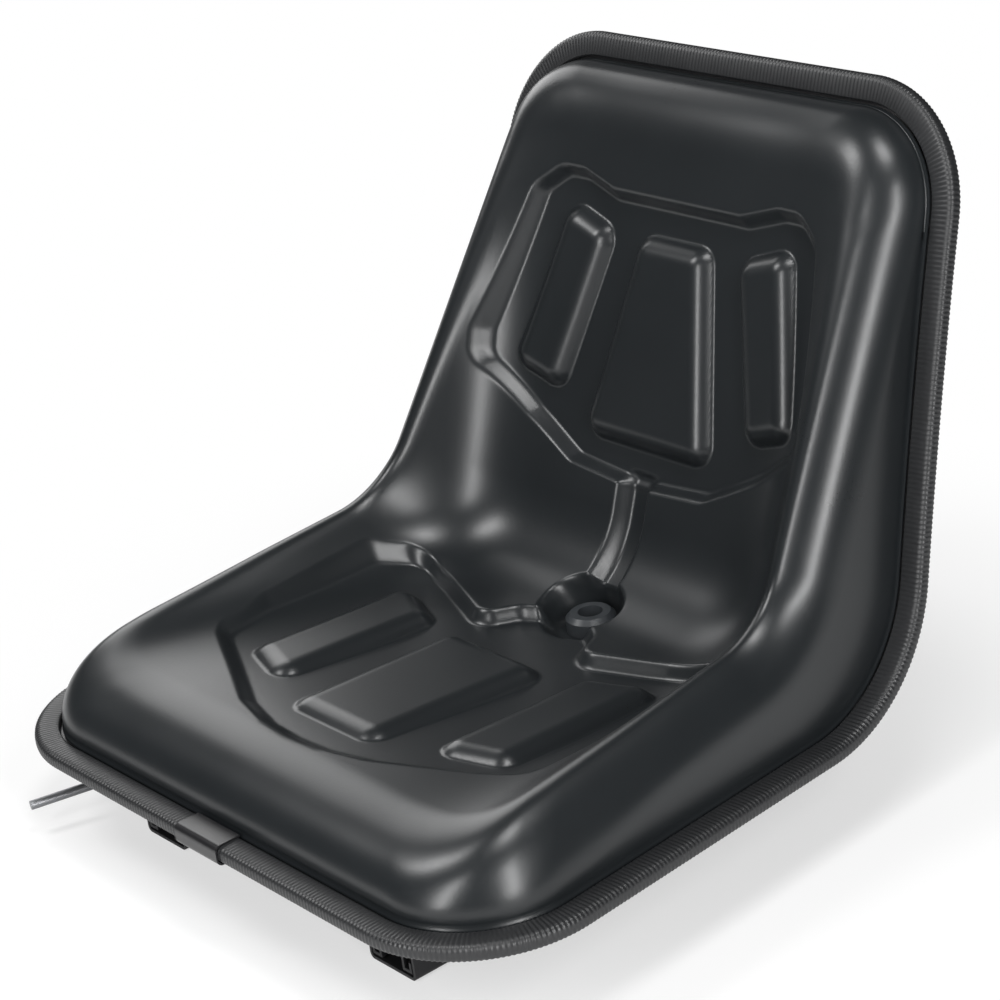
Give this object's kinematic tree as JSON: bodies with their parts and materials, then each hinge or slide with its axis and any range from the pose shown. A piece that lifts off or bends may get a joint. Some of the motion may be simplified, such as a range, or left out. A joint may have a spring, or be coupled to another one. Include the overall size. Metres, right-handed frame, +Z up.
{
  "type": "tractor seat",
  "caption": "Bucket seat for a garden tractor: moulded cushion on a pressed steel pan with edge trim, drain and a pair of slide rails with a release lever.",
  "frame": {"origin": "on the floor plane under the lower rails, at the centre of the rectangle of floor bolts", "axes": "+X to the sitter's left, +Y to the rear, +Z up; the sitter looks along -Y"},
  "size_m": [0.4814, 0.4894, 0.4004],
  "materials": {
    "vinyl": "satin black moulded vinyl skin over foam, fine grain",
    "pan_paint": "black satin paint on pressed steel sheet",
    "trim_pvc": "dark grey push-on edge strip, ribbed across",
    "sleeve_plastic": "smooth black sleeve",
    "bush_plastic": "dark grey moulded plastic",
    "rail_paint": "black paint on folded steel",
    "glide_nylon": "natural white nylon",
    "zinc": "zinc plated steel",
    "spring_steel": "oiled spring wire"
  },
  "bodies": {
    "rails": {"left_lower_rail": "rail_paint", "right_lower_rail": "rail_paint", "stop_studs": "zinc"},
    "seat": {"seat_cushion": "vinyl", "seat_pan": "pan_paint", "edge_trim": "trim_pvc", "trim_joint_sleeve": "sleeve_plastic", "drain_bush": "bush_plastic", "left_upper_rail": "rail_paint", "right_upper_rail": "rail_paint", "left_rail_glides": "glide_nylon", "right_rail_glides": "glide_nylon", "seat_bolts": "zinc", "bolt_washers": "zinc", "rail_spacers": "zinc", "pan_weld_nuts": "zinc", "return_spring": "spring_steel"},
    "lever": {"release_lever": "zinc", "latch_plate": "zinc", "pivot_clip": "zinc"}
  },
  "joints": [
    {"name": "seat_slide", "type": "slide", "parent": "rails", "child": "seat", "axis": [0, 1, 0], "range_m": [-0.075, 0.075]},
    {"name": "lever_lift", "type": "hinge", "parent": "seat", "child": "lever", "pos_m": [-0.115, 0.01, 0.025], "axis": [1, 0, 0], "range_deg": [0, 4], "stiffness_Nm_per_rad": 0.4, "springref_deg": 20.05}
  ]
}
